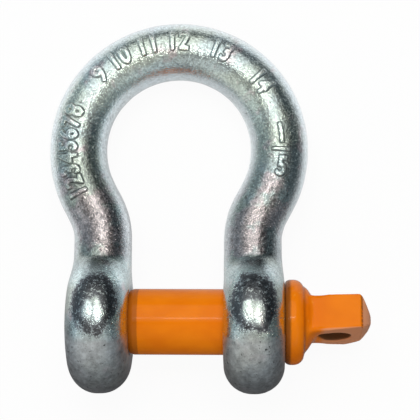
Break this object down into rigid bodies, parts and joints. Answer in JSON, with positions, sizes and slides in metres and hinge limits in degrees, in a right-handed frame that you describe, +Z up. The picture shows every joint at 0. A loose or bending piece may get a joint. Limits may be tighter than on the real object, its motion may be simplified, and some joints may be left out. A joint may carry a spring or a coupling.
{
  "type": "screw pin bow shackle",
  "caption": "Forged bow shackle lying on its side: a round-section bow with two eyes, closed by a screw pin with a collar and a flat holed lug.",
  "frame": {"origin": "on the pin's axis, midway between the two eyes", "axes": "+X along the pin, from the threaded eye to the head; +Y towards the crown of the bow; +Z up, as the shackle lies on a flat surface. The bow lies 8.4 degrees nose down in this frame, because its eyes are thicker than its bar"},
  "size_m": [0.1249, 0.1444, 0.0536],
  "materials": {
    "zinc_bow": "galvanised, rough forged",
    "painted_pin": "gloss"
  },
  "bodies": {
    "bow": {"bow": "zinc_bow"},
    "screw_pin": {"screw_pin": "painted_pin"}
  },
  "joints": [
    {"name": "pin_withdraw", "type": "slide", "parent": "bow", "child": "screw_pin", "axis": [1, 0, 0], "range_m": [0, 0.086]}
  ]
}
